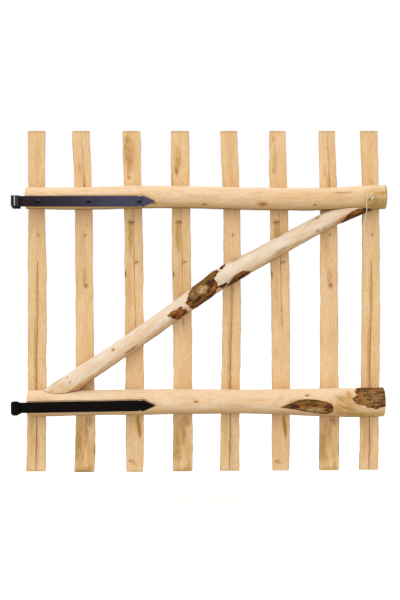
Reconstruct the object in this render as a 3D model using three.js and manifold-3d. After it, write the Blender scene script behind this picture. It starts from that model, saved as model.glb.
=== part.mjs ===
// Rustic garden gate. A leaf of eight split pickets is nailed to two round rails with a round
// diagonal brace between them. Two strap hinges carry the leaf on two drive-in hooks.
//
// Millimetres, +Z up. The origin lies on the hinge line, at the underside of the lower strap's
// eye. +X runs along the closed leaf to the latch side, +Y from the strap side to the pickets.
import * as THREE from 'three';
import { mergeVertices } from 'three/addons/utils/BufferGeometryUtils.js';
import Module from 'manifold-3d';

// ---- Driving dimensions ------------------------------------------------------------------

const GAP = 0.3; // left between pieces that touch
const FAR = 2000; // longer than the gate, for cutting planes
const CUT = 60; // depth of the smaller cutting shapes
const RUN_ON = 1; // how far a drilled hole runs on past its fixing

// Strap hinges: flat bar rolled forward into an eye.
const STRAP = {
  thick: 4,
  wide: 27.5,
  bore: 7.4, // radius inside the eye
  rollEnd: 52, // degrees between the bar and the end of the roll
  tip: 361.5, // from the hinge line to the arrow's point
  shoulder: 333,
  neck: 323,
  neckDepth: 2,
  neckHalf: 4.5,
  screws: [57, 189, 322],
};
const STRAP_FRONT = STRAP.bore;
const STRAP_BACK = STRAP.bore + STRAP.thick;
const SEAT = STRAP_BACK + GAP; // the hewn seat of a strap on its rail
const SEAT_MARGIN = 1.5;

// The two straps: height of the underside at the eye, and how far each one climbs.
const STRAPS = {
  top_strap: { z: 537.5, tilt: 0 },
  bottom_strap: { z: 0, tilt: 1 },
};

// Pickets: half-round, split face forward, all on one plane.
const RAIL_BACK = 66; // the rails' hewn back
const PICKET_FACE = RAIL_BACK + GAP;
const PICKET_HEAD = 744.2;
// Heights of the five stations of a picket, then each picket's foot, and its middle and width at
// the stations.
const PICKET_LEVELS = [-161, -105, 190, 560, 744];
const PICKETS = [
  { foot: -161.6, middle: [43, 43.7, 46, 44.2, 43.8], width: [53, 51.8, 51.2, 45, 47] },
  { foot: -163.2, middle: [170.6, 174, 172.2, 169.2, 162], width: [53.8, 54.8, 49, 47.2, 47.4] },
  { foot: -162.8, middle: [305.9, 306, 304.8, 300.6, 296.6], width: [45, 48.6, 50.4, 48.6, 48.4] },
  { foot: -161, middle: [433, 433.9, 432.5, 427.6, 425.3], width: [52.6, 54.4, 50.8, 51, 49.4] },
  { foot: -160, middle: [558.2, 558.4, 562.6, 563, 555], width: [52.6, 52, 50.6, 45.4, 46.4] },
  { foot: -159.4, middle: [693.1, 693.8, 694, 688.4, 685], width: [44, 48.8, 50.4, 49.2, 44.8] },
  { foot: -158.4, middle: [821.7, 822.8, 822.6, 820.6, 816.4], width: [53.2, 54.8, 49, 46.8, 46] },
  { foot: -157.4, middle: [928.2, 928.8, 933.2, 933, 928.6], width: [52.8, 52, 51, 45.4, 47] },
];

// Round timber as stations along its length: place, then radius.
const RAILS = {
  top_rail: {
    from: 22,
    to: 966,
    stations: [
      [0, 38.9, 563.2, 29],
      [84, 38.9, 561.2, 29.2],
      [210, 38.9, 562, 30.4],
      [337, 38.9, 565.6, 30],
      [463, 38.2, 564.4, 29.5],
      [590, 38, 560.8, 29.7],
      [716, 37.4, 559.7, 30.6],
      [800, 37.6, 559.8, 29.4],
      [900, 36.9, 563.2, 31.4],
      [985, 36.2, 566.2, 32],
    ],
  },
  bottom_rail: {
    from: 27,
    to: 960,
    stations: [
      [0, 38.4, 22.4, 34.6],
      [84, 38.4, 22.9, 34.4],
      [210, 38.4, 24.3, 33.4],
      [337, 38.4, 26.1, 34],
      [463, 38.2, 27.4, 33.3],
      [590, 38.2, 27.4, 31.5],
      [653, 37.6, 26.7, 32.9],
      [780, 35.2, 26, 36.6],
      [880, 33.9, 24.6, 38.3],
      [980, 33.6, 27, 38],
    ],
  },
};
const BRACE = [
  [40, 41, 12, 24],
  [112, 41, 60, 24.4],
  [210, 41, 123.6, 24.8],
  [337, 41, 209.6, 23.8],
  [440, 41, 283.6, 24.4],
  [496, 41, 323.4, 24.8],
  [532, 41, 349.6, 27.2],
  [590, 41, 383.2, 26.8],
  [653, 41, 416.4, 25],
  [779, 41, 486, 23.2],
  [842, 41, 516.6, 21.9],
  [950, 41, 562, 20.5],
];

// Fixings.
const SCREW = { head: 5.6, rise: 3, shank: 2.6, length: 34, point: 6 };
const NAIL = { head: 4, thick: 1.2, shank: 1.7, length: 58, point: 5 };
const SLIP = 0.3; // radial gap of a fixing in its hole

// Hooks: a pin riveted into a cranked spike. Its foot runs back under the eye to an upright
// plate that bears on the post, and the spike itself goes on higher up, behind the strap.
const HOOK = {
  pin: 7,
  neck: 4.7,
  dome: 5, // height of the upper pin's domed top
  cap: 10.4, // radius of the head that keeps the leaf on the lower pin
  capRise: 3.8,
  foot: 4, // thickness of the foot under the pin
  head: 8.5, // radius of the foot's round head
  bar: 5.5, // half the spike's width
  plateFrom: 20,
  plateTo: 25,
  plateHalf: 10,
  plateRise: 19, // above the foot
  spikeLow: 12, // the spike's own bottom and top, above the foot
  spikeHigh: 17,
  taperFrom: 37,
  spikeTo: 98,
  point: 1, // half width of the spike's blunt point
};
const UNDER_EYE = 0.6; // air between a strap's eye and its hook
const HOOKS = {
  upper: { strap: 'top_strap', top: STRAP.wide - 9, headed: false },
  lower: { strap: 'bottom_strap', top: STRAP.wide + UNDER_EYE, headed: true },
};

// A staple on the top rail near the latch end, with a knotted end of twine.
const STAPLE = { left: [915, 562.6], right: [925.2, 564.6], crown: 3.2, wire: 1, depth: 20 };
const KNOT = { middle: [919.8, 0.5, 564.4], size: [11, 4, 8.4] };
const TWINE = {
  radius: 1,
  route: [
    [911.2, 1, 557],
    [910.8, 1.2, 550],
    [911, 1.6, 542],
    [911.8, 1.9, 531],
    [910.6, 2.2, 521],
    [907.8, 2.4, 509],
    [906.4, 2.5, 495],
    [904.9, 2.6, 480],
    [903.2, 2.8, 469.5],
    [904.6, 3, 463.4],
    [909.6, 3.2, 460.2],
    [917.4, 3.3, 458],
    [925.2, 3.2, 456.9],
    [931.4, 3.1, 457.4],
  ],
};

// ---- Finishes ----------------------------------------------------------------------------

const finish = (color, roughness, metalness) => ({ color, roughness, metalness });
const FINISHES = {
  split: finish(0xd4ae7d, 0.75, 0),
  peeled: finish(0xe5c195, 0.6, 0),
  brace: finish(0xe3c19b, 0.6, 0),
  black: finish(0x1c1818, 0.4, 0.6),
  zinc: finish(0x9a9a98, 0.45, 0.9),
  twine: finish(0xdccfae, 0.9, 0),
};

// ---- Solids ------------------------------------------------------------------------------

const wasm = await Module();
wasm.setup();

function solid(geometry) {
  const bare = geometry.clone();
  bare.deleteAttribute('normal');
  bare.deleteAttribute('uv');
  const merged = mergeVertices(bare, 1e-4);
  const vertProperties = new Float32Array(merged.attributes.position.array);
  const triVerts = new Uint32Array(merged.index.array);
  return new wasm.Manifold(new wasm.Mesh({ numProp: 3, vertProperties, triVerts }));
}

function geometryOf(manifold) {
  const mesh = manifold.getMesh();
  const geometry = new THREE.BufferGeometry();
  geometry.setAttribute('position', new THREE.BufferAttribute(mesh.vertProperties, 3));
  geometry.setIndex(new THREE.BufferAttribute(mesh.triVerts, 1));
  return geometry;
}

function block([x0, x1], [y0, y1], [z0, z1]) {
  const geometry = new THREE.BoxGeometry(x1 - x0, y1 - y0, z1 - z0);
  geometry.translate((x0 + x1) / 2, (y0 + y1) / 2, (z0 + z1) / 2);
  return geometry;
}

// A round bar along Y, from front to back.
function bar(x, z, front, back, radius, sides = 8) {
  const geometry = new THREE.CylinderGeometry(radius, radius, back - front, sides);
  geometry.translate(x, (front + back) / 2, z);
  return geometry;
}

// A solid turned about the Y axis from [radius, y] points that begin and end on the axis.
function turned(points, sides = 8) {
  return new THREE.LatheGeometry(points.map(([r, y]) => new THREE.Vector2(r, y)), sides);
}

// A bent, swelling round timber. Its sections keep one vertex towards +Y.
function timber(stations, sides, steps, grow = 0) {
  const axis = new THREE.CatmullRomCurve3(stations.map(([x, y, z]) => new THREE.Vector3(x, y, z)));
  const swell = new THREE.CatmullRomCurve3(stations.map(([, , , r]) => new THREE.Vector3(r, 0, 0)));
  const geometry = new THREE.CylinderGeometry(1, 1, 1, sides, steps);
  const position = geometry.attributes.position;
  const back = new THREE.Vector3();
  const across = new THREE.Vector3();
  for (let i = 0; i < position.count; i += 1) {
    const t = THREE.MathUtils.clamp(position.getY(i) + 0.5, 0, 1);
    const along = axis.getTangent(t);
    back.set(0, 1, 0).addScaledVector(along, -along.y).normalize();
    across.crossVectors(back, along);
    const radius = swell.getPoint(t).x + grow;
    const point = axis.getPoint(t);
    point.addScaledVector(back, position.getX(i) * radius);
    point.addScaledVector(across, position.getZ(i) * radius);
    position.setXYZ(i, point.x, point.y, point.z);
  }
  return solid(geometry);
}

// ---- The assembly ------------------------------------------------------------------------

const gate = new THREE.Group();

function place(name, shape, look) {
  const geometry = shape.isBufferGeometry ? shape : geometryOf(shape);
  const mesh = new THREE.Mesh(geometry, new THREE.MeshStandardMaterial(FINISHES[look]));
  mesh.name = name;
  gate.add(mesh);
}

// ---- Places that several pieces share ----------------------------------------------------

// The value at a height or length, read between stations on the same smooth curve as timber's.
function between(keys, values, key) {
  const curve = new THREE.CatmullRomCurve3(keys.map((k, i) => new THREE.Vector3(k, values[i], 0)));
  let low = 0;
  let high = 1;
  while (high - low > 1e-6) {
    const mid = (low + high) / 2;
    if (curve.getPoint(mid).x < key) low = mid;
    else high = mid;
  }
  return curve.getPoint(low).y;
}

const stationsAlongX = (stations, item, x) =>
  between(stations.map((s) => s[0]), stations.map((s) => s[item]), x);

const picketMiddle = (picket, z) => between(PICKET_LEVELS, picket.middle, z);
const picketWidth = (picket, z) => between(PICKET_LEVELS, picket.width, z);

// A strap's own x and height above its middle line, as the gate's x and z.
function onStrap({ z, tilt }, x, up) {
  const turn = THREE.MathUtils.degToRad(tilt);
  return [
    x * Math.cos(turn) - up * Math.sin(turn),
    z + STRAP.wide / 2 + x * Math.sin(turn) + up * Math.cos(turn),
  ];
}

const strapScrews = Object.entries(STRAPS).flatMap(([strap, set]) =>
  STRAP.screws.map((x, i) => ({ name: `${strap}_screw_${i + 1}`, at: onStrap(set, x, 0) })));

// Every nail goes from the back of a picket into the timber in front of it.
function nailsOf(stations, label, picketNumbers) {
  return picketNumbers.map((number) => {
    const picket = PICKETS[number - 1];
    const guess = stationsAlongX(stations, 2, picketMiddle(picket, stations[0][2]));
    const z = stationsAlongX(stations, 2, picketMiddle(picket, guess));
    const x = picketMiddle(picket, z);
    const back = PICKET_FACE + picketWidth(picket, z) / 2;
    return { name: `${label}_nail_${number}`, picket: number, x, z, back };
  });
}

const everyPicket = PICKETS.map((_, i) => i + 1);
const nails = {
  top_rail: nailsOf(RAILS.top_rail.stations, 'top_rail', everyPicket),
  bottom_rail: nailsOf(RAILS.bottom_rail.stations, 'bottom_rail', everyPicket),
  brace: nailsOf(BRACE, 'brace', everyPicket.slice(1, 7)),
};
const allNails = Object.values(nails).flat();

function nailHole({ x, z, back }) {
  return solid(bar(x, z, back - NAIL.length - RUN_ON, back + CUT, NAIL.shank + SLIP));
}

function staplePath(longer = 0) {
  const { left, right, crown, depth } = STAPLE;
  const corner = 1.5;
  return new THREE.CatmullRomCurve3([
    new THREE.Vector3(left[0], depth + longer, left[1]),
    new THREE.Vector3(left[0], crown + 2 * corner, left[1]),
    new THREE.Vector3(left[0] + corner, crown, left[1] + 0.3),
    new THREE.Vector3(right[0] - corner, crown, right[1] - 0.3),
    new THREE.Vector3(right[0], crown + 2 * corner, right[1]),
    new THREE.Vector3(right[0], depth + longer, right[1]),
  ]);
}

// A round wire or cord along a curve.
function cordAlong(curve, radius, steps, sides = 8) {
  const section = new THREE.Shape(new THREE.EllipseCurve(0, 0, radius, radius).getPoints(sides));
  return new THREE.ExtrudeGeometry(section, { steps, extrudePath: curve, bevelEnabled: false });
}

// The staple and the air around it, which the rail and the twine's knot leave free.
function stapleSpace() {
  return solid(cordAlong(staplePath(RUN_ON), STAPLE.wire + SLIP, 16));
}

// ---- Pickets -----------------------------------------------------------------------------

PICKETS.forEach((picket, i) => {
  const stations = PICKET_LEVELS.map((z, k) =>
    [picket.middle[k], PICKET_FACE, z, picket.width[k] / 2]);
  const [foot, head] = [stations[0], stations.at(-1)];
  const longer = [[foot[0], foot[1], foot[2] - 20, foot[3]], ...stations,
    [head[0], head[1], head[2] + 20, head[3]]];
  let shape = timber(longer, 16, 14);
  shape = shape.intersect(
    solid(block([-FAR, FAR], [PICKET_FACE, FAR], [picket.foot, PICKET_HEAD])));
  for (const nail of allNails.filter((n) => n.picket === i + 1)) {
    shape = shape.subtract(nailHole(nail));
  }
  place(`picket_${i + 1}`, shape, 'split');
});

// ---- Rails -------------------------------------------------------------------------------

// The hewn seat under a strap, a little larger than the strap.
function strapSeat(strap) {
  const half = STRAP.wide / 2 + SEAT_MARGIN;
  const geometry = block([-50, STRAP.tip + 2 * SEAT_MARGIN], [-FAR, SEAT], [-half, half]);
  geometry.rotateY(-THREE.MathUtils.degToRad(strap.tilt));
  geometry.translate(0, 0, strap.z + STRAP.wide / 2);
  return solid(geometry);
}

function rail(name, strapName) {
  const { from, to, stations } = RAILS[name];
  let shape = timber(stations, 20, 16);
  shape = shape.intersect(solid(block([from, to], [-FAR, RAIL_BACK], [-FAR, FAR])));
  shape = shape.subtract(strapSeat(STRAPS[strapName]));
  for (const screw of strapScrews.filter((s) => s.name.startsWith(strapName))) {
    const [x, z] = screw.at;
    const hole = bar(x, z, 0, STRAP_FRONT + SCREW.length + RUN_ON, SCREW.shank + SLIP);
    shape = shape.subtract(solid(hole));
  }
  for (const nail of nails[name]) {
    shape = shape.subtract(nailHole(nail));
  }
  return shape;
}

place('top_rail', rail('top_rail', 'top_strap').subtract(stapleSpace()), 'peeled');
place('bottom_rail', rail('bottom_rail', 'bottom_strap'), 'peeled');

// ---- Brace: scribed over both rails -------------------------------------------------------

let brace = timber(BRACE, 16, 18);
brace = brace.intersect(solid(block([-FAR, FAR], [-FAR, RAIL_BACK], [-FAR, FAR])));
for (const { stations } of Object.values(RAILS)) {
  brace = brace.subtract(timber(stations, 20, 16, GAP));
}
for (const nail of nails.brace) {
  brace = brace.subtract(nailHole(nail));
}
place('brace', brace, 'brace');

// ---- Straps ------------------------------------------------------------------------------

// Seen from above: the flat bar, then the roll round the hook's pin.
function strapPlan() {
  const shape = new THREE.Shape();
  const end = THREE.MathUtils.degToRad(90 - STRAP.rollEnd);
  shape.moveTo(STRAP.tip + 10, STRAP_BACK);
  shape.lineTo(0, STRAP_BACK);
  shape.absarc(0, 0, STRAP_BACK, Math.PI / 2, end + 2 * Math.PI, false);
  shape.lineTo(STRAP.bore * Math.cos(end), STRAP.bore * Math.sin(end));
  shape.absarc(0, 0, STRAP.bore, end + 2 * Math.PI, Math.PI / 2, true);
  shape.lineTo(STRAP.tip + 10, STRAP.bore);
  return shape;
}

// Seen from the front: parallel edges, a shallow neck at the last screw, and an arrow's point.
function strapFront(set) {
  const half = STRAP.wide / 2;
  const left = -STRAP_BACK - 1;
  const lower = [
    [left, -half],
    [STRAP.neck - STRAP.neckHalf, -half],
    [STRAP.neck, -half + STRAP.neckDepth],
    [STRAP.neck + STRAP.neckHalf, -half],
    [STRAP.shoulder, -half],
  ];
  const upper = lower.map(([x, up]) => [x, -up]).reverse();
  const outline = [...lower, [STRAP.tip, 0], ...upper];
  return new THREE.Shape(outline.map(([x, up]) => new THREE.Vector2(...onStrap(set, x, up))));
}

function strap(set) {
  const plan = new THREE.ExtrudeGeometry(strapPlan(),
    { depth: 2 * CUT, bevelEnabled: false, curveSegments: 20 });
  plan.translate(0, 0, set.z + STRAP.wide / 2 - CUT);
  const front = new THREE.ExtrudeGeometry(strapFront(set), { depth: CUT, bevelEnabled: false });
  front.rotateX(Math.PI / 2);
  front.translate(0, CUT / 2, 0);
  let shape = solid(plan).intersect(solid(front));
  for (const x of STRAP.screws) {
    const [atX, atZ] = onStrap(set, x, 0);
    shape = shape.subtract(solid(bar(atX, atZ, 0, CUT, SCREW.shank + SLIP)));
  }
  return shape;
}

Object.entries(STRAPS).forEach(([name, set]) => place(name, strap(set), 'black'));

// ---- Screws and nails --------------------------------------------------------------------

for (const { name, at } of strapScrews) {
  const under = STRAP_FRONT - GAP;
  const end = under + SCREW.length;
  const screw = turned([
    [0, under - SCREW.rise],
    [SCREW.head * 0.55, under - SCREW.rise * 0.85],
    [SCREW.head * 0.9, under - SCREW.rise * 0.45],
    [SCREW.head, under],
    [SCREW.shank, under],
    [SCREW.shank, end - SCREW.point],
    [0, end],
  ], 10);
  screw.translate(at[0], 0, at[1]);
  place(name, screw, 'black');
}

for (const { name, x, z, back } of allNails) {
  const head = back + GAP;
  const tip = back - NAIL.length;
  const nail = turned([
    [0, tip],
    [NAIL.shank, tip + NAIL.point],
    [NAIL.shank, head],
    [NAIL.head, head],
    [NAIL.head, head + NAIL.thick],
    [0, head + NAIL.thick],
  ]);
  nail.translate(x, 0, z);
  place(name, nail, 'zinc');
}

// ---- Hooks -------------------------------------------------------------------------------

// Necked down where it is riveted into the spike. Its top is domed, or has a wide low head.
function hookPin(bottom, top, headed) {
  const foot = bottom - GAP;
  const crown = headed ? HOOK.cap : HOOK.pin;
  const rise = headed ? HOOK.capRise : HOOK.dome;
  const pin = turned([
    [0, foot - HOOK.foot],
    [HOOK.neck, foot - HOOK.foot],
    [HOOK.neck, foot + GAP],
    [HOOK.pin, foot + GAP],
    [HOOK.pin, top],
    [crown, top + (headed ? 0 : 0.1)],
    [crown * 0.92, top + rise * 0.5],
    [crown * 0.7, top + rise * 0.82],
    [crown * 0.38, top + rise * 0.96],
    [0, top + rise],
  ], 20);
  pin.rotateX(Math.PI / 2);
  return pin;
}

// A square bar that tapers to a blunt point, between the given heights.
function pointedBar(low, high) {
  const plan = new THREE.Shape([
    new THREE.Vector2(-HOOK.bar, HOOK.plateTo - RUN_ON),
    new THREE.Vector2(HOOK.bar, HOOK.plateTo - RUN_ON),
    new THREE.Vector2(HOOK.bar, HOOK.taperFrom),
    new THREE.Vector2(HOOK.point, HOOK.spikeTo),
    new THREE.Vector2(-HOOK.point, HOOK.spikeTo),
    new THREE.Vector2(-HOOK.bar, HOOK.taperFrom),
  ]);
  const middle = (low + high) / 2;
  const side = new THREE.Shape([
    new THREE.Vector2(-CUT, low),
    new THREE.Vector2(HOOK.taperFrom, low),
    new THREE.Vector2(HOOK.spikeTo, middle - HOOK.point),
    new THREE.Vector2(HOOK.spikeTo, middle + HOOK.point),
    new THREE.Vector2(HOOK.taperFrom, high),
    new THREE.Vector2(-CUT, high),
  ]);
  const flat = new THREE.ExtrudeGeometry(plan, { depth: high - low, bevelEnabled: false });
  flat.translate(0, 0, low);
  const taper = new THREE.ExtrudeGeometry(side, { depth: CUT, bevelEnabled: false });
  taper.rotateY(Math.PI / 2);
  taper.rotateX(Math.PI / 2);
  taper.translate(-CUT / 2, 0, 0);
  return solid(flat).intersect(solid(taper));
}

// The foot with its round head, the plate and the spike are one forging.
function hookSpike(top) {
  const bottom = top - HOOK.foot;
  const plan = new THREE.Shape();
  const flank = Math.asin(HOOK.bar / HOOK.head);
  plan.absarc(0, 0, HOOK.head, Math.PI / 2 + flank, Math.PI / 2 - flank + 2 * Math.PI, false);
  plan.lineTo(HOOK.bar, HOOK.plateFrom + RUN_ON);
  plan.lineTo(-HOOK.bar, HOOK.plateFrom + RUN_ON);
  const foot = new THREE.ExtrudeGeometry(plan,
    { depth: HOOK.foot, bevelEnabled: false, curveSegments: 16 });
  foot.translate(0, 0, bottom);
  const plate = block([-HOOK.plateHalf, HOOK.plateHalf],
    [HOOK.plateFrom, HOOK.plateTo], [bottom, top + HOOK.plateRise]);
  const rivetHole = new THREE.CylinderGeometry(HOOK.neck + SLIP, HOOK.neck + SLIP, CUT, 20);
  rivetHole.rotateX(Math.PI / 2);
  rivetHole.translate(0, 0, top);
  return solid(foot).subtract(solid(rivetHole)).add(solid(plate))
    .add(pointedBar(top + HOOK.spikeLow, top + HOOK.spikeHigh));
}

for (const [name, { strap: carried, top, headed }] of Object.entries(HOOKS)) {
  const eye = STRAPS[carried].z;
  place(`${name}_hook_pin`, hookPin(eye - UNDER_EYE + GAP, eye + top, headed), 'black');
  place(`${name}_hook_spike`, hookSpike(eye - UNDER_EYE), 'black');
}

// ---- Staple, knot and twine --------------------------------------------------------------

place('twine_staple', cordAlong(staplePath(), STAPLE.wire, 16), 'zinc');

const lump = new THREE.SphereGeometry(1, 12, 8);
lump.scale(...KNOT.size);
lump.translate(...KNOT.middle);
place('twine_knot', solid(lump).subtract(stapleSpace()), 'twine');

const twineRoute = new THREE.CatmullRomCurve3(TWINE.route.map((p) => new THREE.Vector3(...p)));
place('tie_twine', cordAlong(twineRoute, TWINE.radius, 44), 'twine');

export default gate;
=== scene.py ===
# %% [markdown]
# # A rustic garden gate
# The real gate is eight cleft pickets nailed to two round peeled rails, with a round brace
# between the rails and two black strap hinges. Nothing on it is straight, so every stick is
# built from lines that are measured on the CAD model, and only then gets its knots, cracks,
# bark and tool marks. The CAD model comes first, as a fixed frame, and its box is measured.
# The finished looks may not outgrow it.

import math

import bmesh
import bpy
import numpy as np
from mathutils import Matrix, Vector


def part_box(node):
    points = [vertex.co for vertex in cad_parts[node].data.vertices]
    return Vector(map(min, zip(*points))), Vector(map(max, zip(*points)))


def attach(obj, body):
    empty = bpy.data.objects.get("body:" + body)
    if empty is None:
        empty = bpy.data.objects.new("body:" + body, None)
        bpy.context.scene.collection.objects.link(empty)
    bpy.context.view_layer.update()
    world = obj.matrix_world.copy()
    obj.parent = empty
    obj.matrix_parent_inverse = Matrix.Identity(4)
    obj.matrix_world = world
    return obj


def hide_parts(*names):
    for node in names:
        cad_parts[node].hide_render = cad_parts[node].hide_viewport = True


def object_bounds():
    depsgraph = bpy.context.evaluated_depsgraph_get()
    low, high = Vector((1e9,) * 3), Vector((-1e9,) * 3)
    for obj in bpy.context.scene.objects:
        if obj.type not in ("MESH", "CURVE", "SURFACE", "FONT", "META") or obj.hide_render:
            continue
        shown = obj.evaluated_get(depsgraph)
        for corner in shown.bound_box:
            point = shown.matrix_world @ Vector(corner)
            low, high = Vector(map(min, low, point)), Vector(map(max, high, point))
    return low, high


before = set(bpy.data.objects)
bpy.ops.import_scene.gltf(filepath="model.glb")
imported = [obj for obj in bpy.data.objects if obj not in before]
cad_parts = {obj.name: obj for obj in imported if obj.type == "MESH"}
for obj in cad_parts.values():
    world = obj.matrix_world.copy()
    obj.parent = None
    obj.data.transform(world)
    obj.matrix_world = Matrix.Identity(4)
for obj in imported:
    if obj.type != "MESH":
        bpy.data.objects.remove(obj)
cad_low, cad_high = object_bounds()
MM = 0.001
print("CAD box", [round(v, 4) for v in (*cad_low, *cad_high)])

# %% [markdown]
# ## Camera
# The camera looks level at the middle of the leaf from the strap side. A longish lens keeps the
# pickets parallel, and the round rail ends still show a little of their roundness.

# %% Camera
camera_data = bpy.data.cameras.new("gate_camera")
camera_data.lens = 58.65
camera_data.sensor_width = 36
gate_camera = bpy.data.objects.new("gate_camera", camera_data)
gate_camera.location = (0.479, -2.5337, 0.2944)
gate_camera.rotation_euler = (math.pi / 2, 0, 0)
bpy.context.collection.objects.link(gate_camera)
bpy.context.scene.camera = gate_camera
print("camera at", tuple(gate_camera.location))

# %% [markdown]
# ## Twine
# A limp end of twine hangs from a staple on the top rail, where it once tied a label. It is a
# curve, because a curve is a fixed length of something bendable: its points are the route, and
# its bevel is the thickness. It hangs past the rail, and its last bit still curls to one side.

# %% A round wire or cord along points
def cord_piece(name, route, radius):
    curve = bpy.data.curves.new(name, "CURVE")
    curve.dimensions = "3D"
    curve.bevel_depth = radius
    curve.bevel_resolution = 4
    curve.resolution_u = 6
    curve.use_fill_caps = True
    spline = curve.splines.new("NURBS")
    spline.points.add(len(route) - 1)
    spline.points.foreach_set("co", [v for point in route for v in (*point, 1)])
    spline.use_endpoint_u = True
    spline.order_u = 4
    piece = bpy.data.objects.new(name, curve)
    bpy.context.collection.objects.link(piece)
    return piece


# %% The hanging end
TWINE_ROUTE = [
    (911.2, 1, 557),
    (910.8, 1.2, 550),
    (911, 1.6, 542),
    (911.8, 1.9, 531),
    (910.6, 2.2, 521),
    (907.8, 2.4, 509),
    (906.4, 2.5, 495),
    (904.9, 2.6, 480),
    (903.2, 2.8, 469.5),
    (904.6, 3, 463.4),
    (909.6, 3.2, 460.2),
    (917.4, 3.3, 458),
    (925.2, 3.2, 456.9),
    (931.4, 3.1, 457.4),
]


def finer_route(points, steps):
    """The same route with evenly spread points on a smooth curve through the given ones."""
    points = np.array(points, float)
    before = np.vstack([2 * points[0] - points[1], points, 2 * points[-1] - points[-2]])
    made = []
    for i in range(len(points) - 1):
        a, b, c, d = before[i : i + 4]
        for t in np.linspace(0, 1, steps, endpoint=False):
            bend = (2 * a - 5 * b + 4 * c - d) * t * t + (3 * b - a - 3 * c + d) * t**3
            made.append((2 * b + (c - a) * t + bend) / 2)
    return np.array([*made, points[-1]])


twine_points = finer_route(TWINE_ROUTE, 4) * MM
tie_twine = cord_piece("hanging_twine", twine_points, 1 * MM)
twine_length = float(np.linalg.norm(np.diff(twine_points, axis=0), axis=1).sum())
print("twine", round(twine_length, 4), "m")

# %% [markdown]
# ## The knot
# The knot is the same twine laid in figures of eight over the staple. Every turn is a little
# bigger than the one before and passes over and under it, which leaves two holes; they read
# dark from painted shadow on the rail behind them. It is a second curve, because a formula
# winds it more evenly than points placed by hand.

# %% Knot
KNOT_MIDDLE = np.array((918.9, 0.5, 563.6))
KNOT_REACH = np.array((9.9, 1.7, 15.4))


def wound_route(turns, steps):
    """Figures of eight that grow with each turn."""
    t = np.linspace(0, 2 * math.pi * turns, steps)
    grown = np.linspace(0.56, 1.02, steps) + 0.05 * np.sin(1.7 * t)
    shell = np.stack([np.cos(t) * grown, np.sin(2.5 * t + 0.6), np.sin(t) * np.cos(t) * grown],
                     axis=1)
    shell[:, 2] += 0.06 * np.sin(0.8 * t)
    return (KNOT_MIDDLE + shell * KNOT_REACH) * MM


twine_knot = cord_piece("wound_knot", wound_route(5, 110), 1.05 * MM)
print("knot wound from", len(twine_knot.data.splines[0].points), "points")

# %% Staple, from leg to leg over its bridge
STAPLE_ROUTE = [
    (915, 20, 562.6),
    (915, 9, 562.6),
    (915, 4.6, 562.7),
    (915.6, 3.4, 562.8),
    (917, 3.2, 563),
    (923.2, 3.2, 564.2),
    (924.7, 3.4, 564.5),
    (925.2, 4.6, 564.6),
    (925.2, 9, 564.6),
    (925.2, 20, 564.6),
]
twine_staple = cord_piece("bent_staple", np.array(STAPLE_ROUTE) * MM, 1 * MM)
print("staple bent from", len(STAPLE_ROUTE), "points")

# %% [markdown]
# ## Measuring the CAD model
# A plane through a CAD node gives the timber's middle and half width at that place. Many such
# cuts, with one smooth polynomial through them, give a line that never shows the CAD model's
# facets. This way the new timber lies exactly where the CAD timber lies.

# %% Cut a node with a plane
def cut_points(node, axis, at):
    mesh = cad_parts[node].data
    corners = np.empty(len(mesh.vertices) * 3)
    ends = np.empty(len(mesh.edges) * 2, int)
    mesh.vertices.foreach_get("co", corners)
    mesh.edges.foreach_get("vertices", ends)
    corners = corners.reshape(-1, 3)
    first, last = corners[ends[0::2]], corners[ends[1::2]]
    a, b = first[:, axis] - at, last[:, axis] - at
    crossing = a * b < 0
    share = (a / np.where(crossing, a - b, 1))[crossing, None]
    return first[crossing] + share * (last - first)[crossing]


def smooth_line(places, values, degree=8):
    """One polynomial through all the cuts."""
    return np.polynomial.Polynomial.fit(places, values, degree)


# %% The rails' middle lines and radii
RAIL_NAMES = ("top_rail", "bottom_rail")


def measured_rail(name):
    low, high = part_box(name)
    places = np.linspace(low.x + 2 * MM, high.x - 2 * MM, 40)
    rows = []
    for x in places:
        cut = cut_points(name, 0, x)
        top, foot = cut[cut[:, 2].argmax()], cut[cut[:, 2].argmin()]
        rows.append(((top[1] + foot[1]) / 2, (top[2] + foot[2]) / 2, (top[2] - foot[2]) / 2))
    depth, height, radius = (smooth_line(places, column) for column in zip(*rows))
    return {"from": low.x, "to": high.x, "depth": depth, "height": height, "radius": radius}


rails = {name: measured_rail(name) for name in RAIL_NAMES}
for name, rail in rails.items():
    print(name, "radius", round(float(rail["radius"](0.5)), 4))

# %% [markdown]
# ## A blank for round timber
# Every stick starts as a cylinder whose long edges are cut into many rings. The caps are inset
# a few times, so that the sawn ends have points of their own. Ring, turn and share number each
# point: how far along, how far round, and how far out from the middle. Shaping a stick is then
# plain arithmetic on those numbers, and the faces keep pointing outwards.

# %% Blank
CAP_RINGS = 4


def round_blank(name, sides, rings):
    """The blank, and for each point its ring, its turn round the axis and its share."""
    shape = bmesh.new()
    bmesh.ops.create_cone(shape, cap_ends=True, segments=sides, radius1=1, radius2=1, depth=1)
    long_edges = [e for e in shape.edges if abs(e.verts[0].co.z - e.verts[1].co.z) > 0.5]
    bmesh.ops.subdivide_edges(shape, edges=long_edges, cuts=rings - 1, use_grid_fill=True)
    for end in (-1, 1):
        for _ in range(CAP_RINGS):
            cap = max(shape.faces, key=lambda f: (len(f.verts), end * f.calc_center_median().z))
            bmesh.ops.inset_region(shape, faces=[cap], thickness=1 / (CAP_RINGS + 1))
    mesh = bpy.data.meshes.new(name)
    shape.to_mesh(mesh)
    shape.free()
    piece = bpy.data.objects.new(name, mesh)
    bpy.context.collection.objects.link(piece)
    at = np.empty(len(mesh.vertices) * 3)
    mesh.vertices.foreach_get("co", at)
    x, y, z = at.reshape(-1, 3).T
    ring = np.rint((z + 0.5) * rings).astype(int)
    return piece, ring, np.arctan2(y, x), np.minimum(np.hypot(x, y), 1)


def set_points(piece, points):
    piece.data.vertices.foreach_set("co", points.ravel())
    piece.data.update()


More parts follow.
